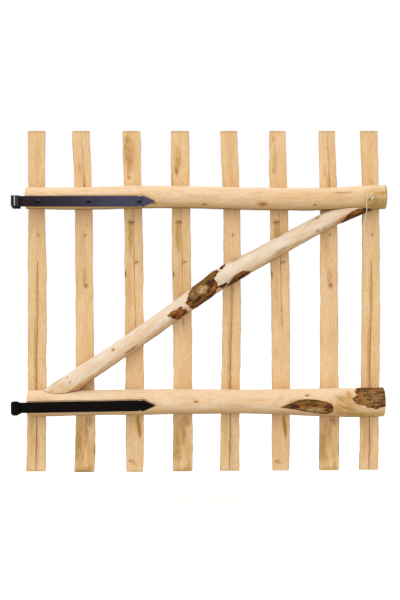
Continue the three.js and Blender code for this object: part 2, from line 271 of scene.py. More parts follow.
def set_values(piece, name, values):
    kind = "FLOAT" if values.ndim == 1 else "FLOAT_VECTOR"
    layer = piece.data.attributes.new(name, kind, "POINT")
    layer.data.foreach_set("value" if values.ndim == 1 else "vector", values.ravel())


def joined(piece, node):
    """The finished stick takes its place in the leaf, where its CAD node was."""
    piece.data.set_sharp_from_angle(angle=math.radians(50))
    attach(piece, "leaf")
    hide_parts(node)
    return piece


# %% [markdown]
# ## Ripples, soft steps and marks
# Wood is never smooth, so a few seeded waves that run in random directions push the surface in
# and out. Knots, cracks, stains and bark are marks: each is a distance, worked out at every
# point, and the finish turns it into a sharp or a soft edge. A distance stays exact between
# two points, where a painted colour would blur.

# %% Ripples and soft steps
def ripple(points, size, seed, waves=14):
    """Smooth bumps about the given size (one number, or one for each direction), mostly -1 to 1."""
    chance = np.random.default_rng(seed)
    ways = chance.normal(size=(waves, 3))
    ways /= np.linalg.norm(ways, axis=1)[:, None]
    ways *= chance.uniform(0.6, 1.6, (waves, 1)) * 2 * math.pi / np.array(size)
    phases = points @ ways.T + chance.uniform(0, 2 * math.pi, waves)
    return np.sin(phases).sum(axis=1) / math.sqrt(waves)


def soft_step(values, low, high):
    t = np.clip((values - low) / (high - low), 0, 1)
    return t * t * (3 - 2 * t)


# %% Marks on a surface that is unrolled flat, in millimetres
def to_line(flat, line):
    """How far each point is from a line of points."""
    best = np.full(len(flat), 1e3)
    for a, b in zip(line[:-1], line[1:]):
        way = b - a
        share = np.clip((flat - a) @ way / (way @ way), 0, 1)
        best = np.minimum(best, np.linalg.norm(flat - a - share[:, None] * way, axis=1))
    return best


def into_outline(flat, outline):
    """How far each point lies inside a closed outline; negative outside."""
    ring = np.vstack([outline, outline[:1]])
    inside = np.zeros(len(flat), bool)
    for a, b in zip(ring[:-1], ring[1:]):
        crosses = (a[1] > flat[:, 1]) != (b[1] > flat[:, 1])
        rise = b[1] - a[1] if b[1] != a[1] else 1
        inside ^= crosses & (flat[:, 0] < a[0] + (flat[:, 1] - a[1]) / rise * (b[0] - a[0]))
    return np.where(inside, 1, -1) * to_line(flat, ring)


def spot(flat, middle, reach):
    """1 in the middle of an oval spot, fading to 0 at about 1.5 times its reach."""
    away = np.linalg.norm((flat - middle) / reach, axis=1)
    return 1 - soft_step(away, 0.3, 1.5)


def set_marks(piece, flat, knots=(), cracks_and_shadows=(), stains=()):
    """Knots are (x, y, reach x, reach y), cracks_and_shadows are (half width, points) of cracks
    and of lines of painted shade, and stains are (colour, x, y, reach x, reach y, strength)."""
    knot = np.full(len(flat), 3.0)
    for x, y, *reach in knots:
        knot = np.minimum(knot, np.linalg.norm((flat - (x, y)) / reach, axis=1))
    crack_and_shadow = np.full(len(flat), 9.0)
    for half, *line in cracks_and_shadows:
        crack_and_shadow = np.minimum(crack_and_shadow, to_line(flat, np.array(line, float)) - half)
    colours = np.zeros((len(flat), 3))
    for kind, x, y, *reach, strength in stains:
        channel = ("brown", "ochre", "green").index(kind)
        patch = strength * spot(flat, (x, y), reach)
        colours[:, channel] = np.maximum(colours[:, channel], patch)
    set_values(piece, "knot", knot)
    set_values(piece, "crack_and_shadow", crack_and_shadow)
    set_values(piece, "stain", colours)
    return knot, crack_and_shadow


# %% [markdown]
# ## Pickets
# A picket is half of a small chestnut pole, cleft with a froe. The cleft face is flat but not
# smooth, and it shows the pith as a dark line wherever the split ran through the middle of the
# pole. The back is round. The blank's front half is laid out flat, so that its columns are
# evenly spread over the face, and the knots and cracks get real dents and grooves.

# %% Marks of the three kinds of picket, as (sideways, height) in millimetres from its middle line
PITHY = {
    "knots": [(3, 467, 2.5, 5)],
    "cracks_and_shadows": [
        (0.35, (2, 396), (1, 330), (0.5, 250), (-1, 150), (-1.5, 60)),
        (0.45, (-1.5, 60), (0, -30), (0, -100), (-0.5, -158)),
    ],
    "stains": [
        ("ochre", -4, 150, 5, 110, 0.9),
        ("ochre", -3, 330, 4, 70, 0.4),
        ("brown", 1, 300, 5, 90, 0.4),
        ("brown", 0, 40, 5, 60, 0.4),
        ("brown", 3, 612, 3, 7, 0.4),
        ("ochre", 2, 660, 8, 60, 0.3),
        ("brown", 2, -90, 6, 60, 0.45),
        ("ochre", -12, -60, 8, 60, 0.4),
        ("green", 0, 742, 26, 3, 0.5),
        ("green", 0, -160, 24, 3, 0.6),
    ],
}
KNOTTY = {
    "knots": [(3, 467, 3, 4), (4, 333, 3.5, 5)],
    "cracks_and_shadows": [
        (-0.6, (0, 740), (1.5, 690), (3, 640)),
        (0.2, (3, 640), (4, 594)),
        (0.5, (-24, -161.4), (24, -161.4)),
        (0.3, (-25.5, -60), (-26, -84), (-26.5, -106), (-26, -128)),
        (0.4, (25.5, -88), (26.5, -104), (26, -116)),
    ],
    "stains": [
        ("brown", 1, 355, 7, 22, 0.6),
        ("brown", 4, 333, 7, 8, 0.9),
        ("brown", 2, 605, 5, 20, 0.5),
        ("green", 2, 680, 3, 60, 0.4),
        ("ochre", -6, 440, 9, 60, 0.3),
        ("brown", -8, 640, 5, 20, 0.4),
        ("green", 0, 742, 26, 3, 0.5),
    ],
}
# The weathered foot of a picket that stood in the wet.
KNOTTY_FOOT = [
    ("brown", 8, -28, 12, 14, 0.8),
    ("brown", -6, -40, 8, 12, 0.5),
    ("brown", 2, -62, 6, 34, 0.8),
    ("ochre", -14, -90, 12, 66, 0.8),
    ("ochre", 14, -110, 10, 40, 0.5),
    ("green", -19, -90, 8, 40, 0.6),
    ("green", -26, -106, 3, 30, 1.4),
    ("green", 26, -104, 3, 14, 1.5),
    ("ochre", 0, -156, 24, 7, 0.8),
    ("green", -8, -162, 22, 3.5, 1.6),
    ("brown", 16, -150, 6, 12, 0.6),
    ("brown", -6, -124, 4, 6, 0.5),
]
STREAKY = {
    "knots": [(-6, 502, 5, 2.5), (8, 396, 4, 2)],
    "cracks_and_shadows": [
        (0.2, (-1, 545), (0.5, 505), (1, 440), (1.5, 380), (2, 300), (4, 228)),
        (0.5, (-15, 500), (-8, 501.5), (1, 502)),
        (0.9, (-23, 368), (-21.5, 364), (-22.5, 358)),
        (0.3, (3, 390), (6, 396), (13, 397)),
    ],
    "stains": [
        ("ochre", -8, 462, 7, 46, 1),
        ("brown", -6, 500, 9, 6, 0.9),
        ("brown", -22, 362, 3, 14, 0.9),
        ("brown", 8, 394, 6, 5, 0.5),
        ("ochre", -12, 330, 10, 60, 0.4),
        ("brown", 2, 230, 4, 20, 0.4),
        ("green", 0, 742, 26, 3, 0.5),
        ("green", 0, -162, 24, 3, 0.6),
    ],
}
# A leaf-shaped streak under the bottom rail, and a curved mark near the foot.
LEAF_STREAK = [
    ("ochre", 8, -26, 4, 14, 2.2),
    ("ochre", 10.5, -42, 4.5, 18, 2.2),
    ("ochre", 14, -60, 3, 14, 1.8),
    ("green", 12, -52, 3, 18, 0.7),
    ("brown", -9, -134, 8, 4, 0.9),
    ("brown", -4, -140, 8, 3, 0.6),
]
# Stains of single pickets, by number from the hinge side.
PICKET_OWN = {
    2: KNOTTY_FOOT,
    3: [
        ("brown", -13, 722, 6, 10, 1),
        ("brown", -16, 706, 4, 16, 0.7),
        ("ochre", -6, 690, 16, 50, 0.6),
        ("brown", -8, 668, 9, 30, 0.7),
        ("brown", -9, 640, 5, 20, 0.6),
        ("brown", -9, 622, 5, 7, 1),
        *LEAF_STREAK,
    ],
    4: [
        ("ochre", -6, 672, 9, 30, 0.9),
        ("brown", -10, 640, 6, 16, 1.1),
        ("brown", -2, 668, 3, 20, 0.6),
        ("brown", -22, 612, 3, 22, 1),
        *KNOTTY_FOOT,
    ],
    6: [
        ("brown", -12, 722, 5, 8, 0.5),
        ("green", -8, 664, 7, 34, 0.5),
        ("brown", -11, 640, 5, 10, 0.5),
        *LEAF_STREAK,
    ],
    7: KNOTTY_FOOT,
}
# A picket's edge bulges here, as (picket, side, height, reach, bulge) in millimetres.
BULGES = [(1, 1, 372, 42, 3.2), (1, 1, 150, 60, -1), (3, 1, 420, 60, 0.8), (5, -1, 640, 50, 0.8)]
PICKET_KINDS = [PITHY, KNOTTY, STREAKY, STREAKY, PITHY, STREAKY, KNOTTY, PITHY]
ARRIS = 1.2 * MM


# %% Picket shape
PICKET_SIDES, PICKET_RINGS = 72, 330


def measured_picket(name):
    low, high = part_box(name)
    places = np.linspace(low.z + 2 * MM, high.z - 2 * MM, 40)
    spans = [cut_points(name, 2, z)[:, 0] for z in places]
    middle = smooth_line(places, [(s.max() + s.min()) / 2 for s in spans])
    half = smooth_line(places, [(s.max() - s.min()) / 2 for s in spans])
    return {"from": low.z, "to": high.z, "face": low.y, "middle": middle, "half": half}


def end_stations(start, stop, count):
    """Places of the rings, with two close ones at each end, and how much each is rounded in."""
    close = np.array([0, 0.3, 1]) * ARRIS
    places = [start + close, np.linspace(start + 3 * MM, stop - 3 * MM, count - 5),
              stop - close[::-1]]
    rounded = np.zeros(count + 1)
    rounded[[0, 1, -2, -1]] = np.array([1, 0.3, 0.3, 1]) * ARRIS
    return np.concatenate(places), rounded


def face_hollow(skin, knot, crack_and_shadow, edge, seed):
    """How far the cleft face lies behind a flat one: long waves, dents, grooves, eased arrises."""
    hollow = 0.35 + 0.35 * ripple(skin, (22 * MM, 22 * MM, 160 * MM), seed)
    hollow += 0.12 * ripple(skin, (5 * MM, 5 * MM, 60 * MM), seed + 1)
    hollow += 0.6 * (1 - soft_step(crack_and_shadow, -0.2, 1.1)) + 0.5 * soft_step(1.2 - knot, 0, 1)
    hollow += 1.3 * (1 - soft_step(edge / MM, 0, 2.6)) ** 2
    return np.maximum(hollow, 0) * MM


def edge_waver(number, across, skin, seed):
    """How far the picket's edges stray sideways from its smooth line."""
    waver = 0.4 * ripple(skin * (0, 0, 1), 38 * MM, seed + 3) * MM
    for which, side, height, reach, bulge in BULGES:
        if which == number:
            lean = np.clip(side * across, 0, 1) * bulge * side * MM
            waver += lean * np.exp(-(((skin[:, 2] / MM - height) / reach) ** 2))
    return waver


# %% Make the pickets
def make_picket(number, kind):
    node = f"picket_{number}"
    line = measured_picket(node)
    piece, ring, turn, share = round_blank(f"cleft_{node}", PICKET_SIDES, PICKET_RINGS)
    places, rounded = end_stations(line["from"], line["to"], PICKET_RINGS)
    z = places[ring]
    middle, half = line["middle"](z), line["half"](z) - rounded[ring]
    behind = turn >= -1e-6
    across = np.where(behind, np.cos(turn), 1 + 2 * turn / math.pi)
    across = np.where(behind, across, -np.abs(turn + math.pi) / math.pi * -2 - 1)
    deep = np.where(behind, np.abs(np.sin(turn)), 0) * half
    edge = half * (1 - np.abs(across))
    flat = np.stack([across * half, z], axis=1) / MM
    skin = np.stack([across * half, deep, z], axis=1)
    seed = 100 * number
    stains = kind["stains"] + PICKET_OWN.get(number, [])
    knot, crack_and_shadow = set_marks(piece, flat, kind["knots"], kind["cracks_and_shadows"], stains)
    hollow = face_hollow(skin, knot, crack_and_shadow, edge, seed)
    lump = 0.5 * ripple(skin, (30 * MM, 30 * MM, 120 * MM), seed + 2) - 0.5
    waver = edge_waver(number, across, skin, seed)
    x = middle + across * (half + np.where(behind, lump * MM, 0)) + waver
    y = line["face"] + np.where(behind, deep * (1 + lump * MM / half), hollow)
    y = np.where(behind & (deep < 2 * MM), y + (1 - deep / 2 / MM) * hollow, y)
    core = line["face"] + 0.4 * half
    x = middle + (x - middle) * share
    y = core + (y - core) * share
    set_points(piece, np.stack([x, y, z], axis=1))
    pith = 4 * MM + 2 * MM * ripple(skin * (0, 0, 1), 400 * MM, seed + 4)
    set_values(piece, "grain", np.stack([x - middle, y - line["face"] + pith, z + number], axis=1))
    set_values(piece, "edge", np.where(behind, deep, edge) / MM)
    return joined(piece, node)


pickets = [make_picket(i + 1, kind) for i, kind in enumerate(PICKET_KINDS)]
print(len(pickets), "pickets,", len(pickets[0].data.vertices), "points each")

# %% [markdown]
# ## Bark
# The pole was peeled with a drawknife, which left bark in the hollows and under the bends. On
# the gate the bark is about a millimetre thick with a ragged edge. The outlines are given as
# places along and round the stick, and ripples fray them. The same distance raises the surface
# and later chooses the bark's finish, so colour and step always meet.

# %% Bark outlines, as (how frayed, then millimetres along and degrees up from the front)
BRACE_BARK = [
    (1.7, (430, 0), (440, 8), (455, 9), (470, 0), (471, -18), (479, -40), (477, -58), (464, -64),
     (447, -66), (436, -20)),
    (1, (487, 7), (499, 23), (510, 45), (520, 70), (532, 105), (565, 115), (590, 100), (603, 76),
     (604, 46), (591, 29), (583, 18), (586, -2), (582, -21), (574, -40), (560, -72), (550, -120),
     (530, -130), (505, -100), (491, -62), (488, -24)),
    (0.7, (609, 67), (618, 100), (628, 90), (626, 60), (612, 51)),
    (0.2, (600, -72), (617, -48), (637, -29), (658, -29), (676, -58), (668, -100), (640, -120),
     (606, -110)),
    (0.5, (577, -29), (591, -38), (607, -44), (607, -62), (590, -66)),
    (0.3, (946, -62), (965, -30), (982, -13), (1000, -12), (1040, -30), (1060, -62), (1040, -110),
     (980, -115), (955, -100)),
]
RAIL_BARK = {
    "top_rail": [],
    "bottom_rail": [
        (0.25, (688, -20), (702, -8), (718, 3), (736, 14), (757, 19), (775, 17), (790, 14),
         (805, 9), (818, 1), (825, -14), (824, -36), (813, -50), (791, -49), (770, -43),
         (749, -37), (726, -28), (708, -24)),
        (1.2, (874, 16), (877, 29), (888, 42), (882, 58), (888, 80), (896, 118), (930, 128),
         (975, 120), (975, -10), (957, -12), (940, -19), (919, -14), (898, -4), (883, 3)),
    ],
}


# %% Bark as a distance
def barked(flat, skin, outlines, radius, seed):
    best = np.full(len(flat), -30.0)
    ragged = 1.9 * ripple(skin, (24 * MM, 6 * MM, 6 * MM), seed, 24)
    ragged += 0.9 * ripple(skin, (8 * MM, 3.5 * MM, 3.5 * MM), seed + 1, 24)
    for fray, *outline in outlines:
        edge = np.array([(along, math.radians(up) * radius) for along, up in outline])
        into = into_outline(flat, edge)
        best = np.maximum(best, into + fray * ragged * soft_step(into, -8, -1))
    return best


def bark_relief(bark, skin, seed):
    """How far the bark stands proud, in millimetres."""
    rough = 0.3 * ripple(skin, (16 * MM, 7 * MM, 7 * MM), seed + 2)
    rough += 0.12 * ripple(skin, 4 * MM, seed + 3)
    return soft_step(bark, -0.5, 0.9) * (1.2 + rough)


# %% [markdown]
# ## Rails
# A rail is a whole peeled pole, hewn flat at the back where the pickets are nailed, with a flat
# seat at the front for its strap. Shaving leaves long shallow facets, so the radius wavers a
# little along and round it. The seat is made last, by holding back every point that would
# stand in the strap's way.

# %% Marks on the rails, as (along, round) in millimetres, round measured up from the front
RAIL_MARKS = {
    "top_rail": {
        "knots": [(642, -17.5, 10, 5), (491, -22, 4.5, 3.5), (359, -20, 7, 3), (779, -19, 4, 3)],
        "cracks_and_shadows": [
            (0.2, (835, 13.5), (868, 12.5)),
            (0.1, (250, 24), (300, 25)),
            # These two are no cracks but painted shadow on the rail behind the twine knot's holes.
            (1.8, (912.4, -2.6), (913.8, -1.8)),
            (1.2, (923.4, -0.8), (925.4, 0.4)),
        ],
        "stains": [
            ("brown", 642, -17, 13, 6, 0.7),
            ("brown", 491, -21, 9, 5, 0.5),
            ("brown", 357, -19, 11, 4, 0.7),
            ("ochre", 938, -4, 34, 30, 0.9),
            ("ochre", 790, -2, 170, 26, 0.3),
            ("brown", 950, 7, 14, 5, 0.9),
            ("brown", 918, -7, 10, 5, 0.7),
            ("green", 942, -22, 30, 18, 0.8),
            ("ochre", 900, -26, 70, 10, 0.6),
            ("green", 964, 0, 3, 60, 0.9),
            ("ochre", 560, 22, 60, 6, 0.35),
            ("ochre", 720, -8, 90, 5, 0.3),
            ("brown", 850, 13, 26, 3, 0.5),
            ("ochre", 180, 21, 26, 5, 0.4),
        ],
    },
    "bottom_rail": {
        "knots": [(757, 22, 5, 3), (469, 3, 5, 3)],
        "cracks_and_shadows": [
            (-0.3, (500, -9), (560, -8), (610, -10)),
            (0.3, (831, 24), (842, 12), (854, 4), (870, -1)),
            (0.4, (834, 2), (850, -9), (868, -15), (884, -17)),
            (0.5, (834, -24), (856, -32), (885, -36), (908, -33)),
            (1.2, (858, -47), (895, -51), (935, -49)),
        ],
        "stains": [
            ("brown", 757, 22, 6, 4, 0.6),
            ("brown", 469, 3, 8, 4, 0.4),
            ("green", 846, 16, 14, 8, 0.4),
            ("ochre", 858, -4, 34, 36, 0.8),
            ("green", 866, -26, 36, 10, 0.5),
            ("brown", 838, -12, 14, 9, 0.6),
            ("brown", 862, -8, 14, 6, 0.7),
            ("ochre", 900, -36, 60, 12, 1),
            ("brown", 866, 24, 8, 14, 0.8),
            ("ochre", 620, -20, 60, 7, 0.4),
            ("brown", 60, 14, 30, 5, 0.25),
            ("ochre", 778, -18, 26, 8, 1.5),
            ("ochre", 742, -16, 14, 6, 0.9),
            ("ochre", 925, 16, 34, 24, 0.5),
            ("green", 925, 20, 44, 30, 0.35),
            ("brown", 900, 10, 20, 20, 0.3),
            ("green", 752, 3, 44, 9, 0.8),
            ("brown", 816, -6, 8, 14, 0.8),
        ],
    },
}
# Height of the strap's middle at the hinge line in millimetres, and its climb in degrees.
STRAP_SEATS = {"top_rail": (551.25, 0.0), "bottom_rail": (13.75, 1.0)}
SEAT_OUTLINE = np.array([(-20, -14.4), (334, -14.4), (363, 0), (334, 14.4), (-20, 14.4)])
SEAT_DEPTH = 11.7 * MM
BACK_FLAT = 66 * MM


def in_seat(name, x, z):
    """1 where the strap lies on the rail, fading to 0 within a few millimetres round it."""
    height, tilt = STRAP_SEATS[name]
    up = z / MM - height - x / MM * math.sin(math.radians(tilt))
    return soft_step(into_outline(np.stack([x / MM, up], axis=1), SEAT_OUTLINE), -3.5, -0.6)


# %% Rail shape
POLE_SIDES, RAIL_RINGS = 112, 520
NO_JOINT = 99.0


def make_rail(name, seed):
    line = rails[name]
    piece, ring, turn, share = round_blank(f"peeled_{name}", POLE_SIDES, RAIL_RINGS)
    places, rounded = end_stations(line["from"], line["to"], RAIL_RINGS)
    x = places[ring]
    up = -turn
    radius = line["radius"](x)
    flat = np.stack([x, up * radius], axis=1) / MM
    skin = np.stack([x, -np.cos(up) * radius, np.sin(up) * radius], axis=1)
    bark = barked(flat, skin, RAIL_BARK[name], float(radius.mean()) / MM, seed)
    knot, crack_and_shadow = set_marks(piece, flat, **RAIL_MARKS[name])
    lump = -0.45 + 0.35 * ripple(skin, (150 * MM, 24 * MM, 24 * MM), seed + 4)
    lump += 0.15 * ripple(skin, (40 * MM, 8 * MM, 8 * MM), seed + 5)
    lump += 0.5 * soft_step(1.3 - knot, 0, 1) - 0.8 * (1 - soft_step(crack_and_shadow, -0.2, 1))
    lump += bark_relief(bark, skin, seed)
    radius = radius + lump * MM - rounded[ring]
    y = line["depth"](x) - np.cos(up) * radius * share
    z = line["height"](x) + np.sin(up) * radius * share
    y = np.minimum(y, BACK_FLAT - 0.1 * MM)
    y += np.maximum(SEAT_DEPTH - y, 0) * in_seat(name, x, z)
    set_points(piece, np.stack([x, y, z], axis=1))
    wander = 4 * MM * ripple(skin * (1, 0, 0), 350 * MM, seed + 6)
    set_values(piece, "grain", np.stack([z - line["height"](x) + wander,
                                         y - line["depth"](x) - wander, x + seed], axis=1))
    set_values(piece, "edge", np.sin(up))
    set_values(piece, "bark", bark)
    set_values(piece, "joint", np.full(len(up), NO_JOINT))
    return joined(piece, name)


top_rail, bottom_rail = make_rail("top_rail", 21), make_rail("bottom_rail", 22)
print("rails", len(top_rail.data.vertices), "points each")

# %% [markdown]
# ## Brace
# The brace is a thinner pole that runs from the foot of the hinge side to the head of the latch
# side, and both its ends are scribed to sit over the round rails. Each long line of the blank
# is followed from the middle outwards until it meets a rail, and stops there. That is what
# the maker's scribe does, and it gives the saddle-shaped ends without a boolean.

# %% The brace's own line, as (x, y, z, radius) in millimetres
BRACE_DEPTH = 41
BRACE_LINE = finer_route(
    [
        (40, BRACE_DEPTH, 12, 24),
        (112, BRACE_DEPTH, 60, 24.4),
        (210, BRACE_DEPTH, 123.6, 24.8),
        (337, BRACE_DEPTH, 209.6, 23.8),
        (440, BRACE_DEPTH, 283.6, 24.4),
        (496, BRACE_DEPTH, 323.4, 24.8),
        (532, BRACE_DEPTH, 349.6, 27.2),
        (590, BRACE_DEPTH, 383.2, 26.8),
        (653, BRACE_DEPTH, 416.4, 25),
        (779, BRACE_DEPTH, 486, 23.2),
        (842, BRACE_DEPTH, 516.6, 21.9),
        (950, BRACE_DEPTH, 562, 20.5),
    ],
    30,
) * MM
BRACE_ALONG = np.concatenate(
    [[0], np.linalg.norm(np.diff(BRACE_LINE[:, :3], axis=0), axis=1).cumsum()])
BRACE_WAY = np.gradient(BRACE_LINE[:, :3], axis=0)
BRACE_WAY /= np.linalg.norm(BRACE_WAY, axis=1)[:, None]
print("brace", round(float(BRACE_ALONG[-1]), 3), "m long before scribing")


def flare(along, up):
    """The brace swells on the underside of its foot, where a root began."""
    return 6.5 * MM * (1 - soft_step(along, 115 * MM, 185 * MM)) * np.maximum(-np.sin(up), 0)


def on_brace(along, up, lift=0.0):
    """Point on the brace's skin, raised by lift."""
    x, z, radius, way_x, way_z = (
        np.interp(along, BRACE_ALONG, column)
        for column in (BRACE_LINE[:, 0], BRACE_LINE[:, 2], BRACE_LINE[:, 3],
                       BRACE_WAY[:, 0], BRACE_WAY[:, 2]))
    out = radius + flare(along, up) + lift
    rise = np.sin(up) * out
    y = BRACE_DEPTH * MM - np.cos(up) * out
    return np.stack([x - way_z * rise, y, z + way_x * rise], axis=-1)


# %% Scribing
SCRIBE_GAP = 0.3 * MM


def clear_of_rail(points, rail):
    """How far each point is outside a rail."""
    x, y, z = points.T
    away = np.hypot(y - rail["depth"](x), z - rail["height"](x))
    return away - rail["radius"](x) - SCRIBE_GAP


def scribe(up, rail, start, stop):
    """Where a line of the brace, followed from start towards stop, meets the rail."""
    along = np.linspace(start, stop, 400)
    clear = clear_of_rail(on_brace(along, np.full(400, up)), rail)
    first = int(np.argmax(clear < 0))
    share = clear[first - 1] / (clear[first - 1] - clear[first])
    return along[first - 1] + share * (along[first] - along[first - 1])


# %% Marks on the brace, as (along, round) in millimetres
BRACE_MARKS = {
    "knots": [(261, 11, 3.5, 3), (881, -14, 4, 3), (896, 18, 5, 3), (570, 4, 5, 4)],
    "cracks_and_shadows": [
        (0.3, (118, 17), (122, 19)),
        (0.3, (117, 0), (124, 2)),
        (0.25, (577, -13), (592, -17), (607, -19)),
        (0.4, (283, -17), (320, -16)),
        (0.2, (860, 14), (905, 21)),
    ],
    "stains": [
        ("brown", 118, -20, 30, 5, 1),
        ("brown", 152, -36, 34, 9, 1.6),
        ("ochre", 74, -2, 44, 22, 0.6),
        ("ochre", 150, -19, 40, 6, 0.8),
        ("brown", 300, -18, 22, 5, 0.9),
        ("brown", 261, 11, 6, 4, 0.8),
        ("brown", 120, 1, 7, 3, 0.5),
        ("brown", 118, 19, 8, 4, 0.5),
        ("ochre", 225, -16, 30, 6, 0.5),
        ("ochre", 400, -15, 50, 5, 0.6),
        ("brown", 655, 32, 18, 9, 0.9),
        ("brown", 788, 34, 16, 6, 0.9),
        ("green", 770, -14, 22, 7, 0.8),
        ("ochre", 815, -18, 24, 6, 0.6),
        ("brown", 900, -17, 9, 5, 0.7),
        ("brown", 915, 34, 26, 5, 0.8),
        ("ochre", 700, 26, 60, 5, 0.5),
        ("brown", 90, 25, 20, 6, 0.5),
        ("brown", 60, 8, 12, 12, 0.25),
        ("ochre", 541, 5, 17, 11, 1.7),
        ("ochre", 514, 4, 10, 10, 0.8),
        ("green", 562, 30, 34, 14, 1.4),
        ("green", 520, 20, 14, 8, 0.8),
        ("brown", 572, -4, 9, 8, 1),
        ("brown", 546, -18, 26, 6, 1),
        ("brown", 455, -14, 26, 12, 1.4),
        ("brown", 642, -18, 24, 7, 1.4),
        ("brown", 975, -20, 40, 12, 1.5),
    ],
}


# %% Brace shape
BRACE_RINGS = 560
BRACE_RADIUS = 24.8


def kept_clear(points):
    """The same points, pushed out of both rails and in front of the pickets."""
    for rail in rails.values():
        x, y, z = points.T
        dy, dz = y - rail["depth"](x), z - rail["height"](x)
        push = np.maximum((rail["radius"](x) + SCRIBE_GAP) / np.hypot(dy, dz), 1)
        points = np.stack([x, rail["depth"](x) + dy * push, rail["height"](x) + dz * push], axis=1)
    points[:, 1] = np.minimum(points[:, 1], BACK_FLAT - 0.1 * MM)
    return points


def make_brace(seed):
    piece, ring, turn, share = round_blank("scribed_brace", POLE_SIDES, BRACE_RINGS)
    up = -turn
    half = BRACE_ALONG[-1] / 2
    lines = np.linspace(-math.pi, math.pi, 181)
    low = [scribe(u, rails["bottom_rail"], half, 0) for u in lines]
    high = [scribe(u, rails["top_rail"], half, BRACE_ALONG[-1]) for u in lines]
    start, stop = np.interp(up, lines, low), np.interp(up, lines, high)
    part = ring / BRACE_RINGS
    along = start + (stop - start) * part
    radius = np.interp(along, BRACE_ALONG, BRACE_LINE[:, 3])
    flat = np.stack([along, up * radius], axis=1) / MM
    skin = np.stack([along, -np.cos(up) * radius, np.sin(up) * radius], axis=1)
    bark = barked(flat, skin, BRACE_BARK, BRACE_RADIUS, seed)
    knot, crack_and_shadow = set_marks(piece, flat, **BRACE_MARKS)
    from_end = np.minimum(along - start, stop - along)
    lump = -0.5 + 0.45 * ripple(skin, (90 * MM, 20 * MM, 20 * MM), seed + 4)
    lump += 0.2 * ripple(skin, (26 * MM, 7 * MM, 7 * MM), seed + 5)
    lump += 0.7 * soft_step(1.3 - knot, 0, 1) - 0.8 * (1 - soft_step(crack_and_shadow, -0.2, 1))
    lump += bark_relief(bark, skin, seed) - 2.2 * (1 - soft_step(from_end, 0, 2.4 * MM)) ** 2
    points = on_brace(along, up, lump * MM)
    cap_middle = np.where(part[:, None] < 0.5, points[(ring == 0) & (share > 0.99)].mean(axis=0),
                          points[(ring == BRACE_RINGS) & (share > 0.99)].mean(axis=0))
    points = cap_middle + (points - cap_middle) * np.where(share < 0.99, share, 1)[:, None]
    set_points(piece, kept_clear(points))
    wander = 3 * MM * ripple(skin * (1, 0, 0), 300 * MM, seed + 6)
    side, deep = np.sin(up) * radius * share, -np.cos(up) * radius * share
    set_values(piece, "grain", np.stack([side + wander, deep - wander, along + seed], axis=1))
    set_values(piece, "edge", np.sin(up))
    set_values(piece, "bark", bark)
    set_values(piece, "joint", from_end / MM)
    return joined(piece, "brace")


brace = make_brace(31)
print("brace", len(brace.data.vertices), "points")

# %% [markdown]
# ## Straps
# A strap hinge is a flat bar with one end rolled into an eye and the other drawn to an arrow
# point. The smith's order works in Blender too: a bar is extruded from one rectangle, station
# by station, and its other end is spun round the hinge line for the eye. Then the sharp edges
# are eased with a bevel, because a dead sharp edge never catches the light.

# %% Ease the sharp edges of a shape
def ease_edges(shape, width, sharp=35, segments=2):
    bmesh.ops.recalc_face_normals(shape, faces=shape.faces)
    edges = [e for e in shape.edges
             if len(e.link_faces) == 2 and e.calc_face_angle() > math.radians(sharp)]
    bmesh.ops.bevel(shape, geom=edges, offset=width, segments=segments, affect="EDGES",
                    profile=0.5, material=-1)


def finished_piece(name, shape, body, node, smooth=40):
    mesh = bpy.data.meshes.new(name)
    shape.to_mesh(mesh)
    shape.free()
    mesh.shade_smooth()
    mesh.set_sharp_from_angle(angle=math.radians(smooth))
    piece = bpy.data.objects.new(name, mesh)
    bpy.context.collection.objects.link(piece)
    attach(piece, body)
    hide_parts(node)
    return piece


def mesh_points(piece):
    points = np.empty(len(piece.data.vertices) * 3)
    piece.data.vertices.foreach_get("co", points)
    return points.reshape(-1, 3)


# %% Strap shape
STRAP_FACE, STRAP_REAR = 7.4 * MM, 11.4 * MM
STRAP_WIDE = 27.5 * MM
ROLL = math.radians(308)
BAR_STATIONS = [(40, 0), (120, 0), (200, 0), (280, 0), (318.5, 0), (321, 1.6), (323, 2.1),
                (325, 1.6), (327.5, 0), (333, 0), (361.2, 13.3)]


def drawn_bar(shape):
    """The flat bar, extruded from one rectangle at the hinge line, which is handed back."""
    corners = [(0, STRAP_FACE, 0), (0, STRAP_REAR, 0), (0, STRAP_REAR, STRAP_WIDE),
               (0, STRAP_FACE, STRAP_WIDE)]
    end = [shape.faces.new([shape.verts.new(c) for c in corners])]
    root = list(shape.edges)
    for x, narrow in BAR_STATIONS:
        first = end[0].verts[0].co.x == 0
        grown = bmesh.ops.extrude_face_region(shape, geom=end, use_keep_orig=first)
        end = [g for g in grown["geom"] if isinstance(g, bmesh.types.BMFace)]
        for vert in end[0].verts:
            vert.co.x = x * MM
            foot = vert.co.z < STRAP_WIDE / 2
            vert.co.z = narrow * MM if foot else STRAP_WIDE - narrow * MM
    bmesh.ops.delete(shape, geom=[f for f in shape.faces if abs(f.calc_center_median().x) < 1e-9],
                     context="FACES_ONLY")
    return root


def roll_eye(shape, root):
    rolled = bmesh.ops.spin(shape, geom=root, cent=(0, 0, 0), axis=(0, 0, 1), dvec=(0, 0, 0),
                            angle=ROLL, steps=44, use_merge=False, use_duplicate=False)
    last = [g for g in rolled["geom_last"] if isinstance(g, bmesh.types.BMEdge)]
    bmesh.ops.contextual_create(shape, geom=last)


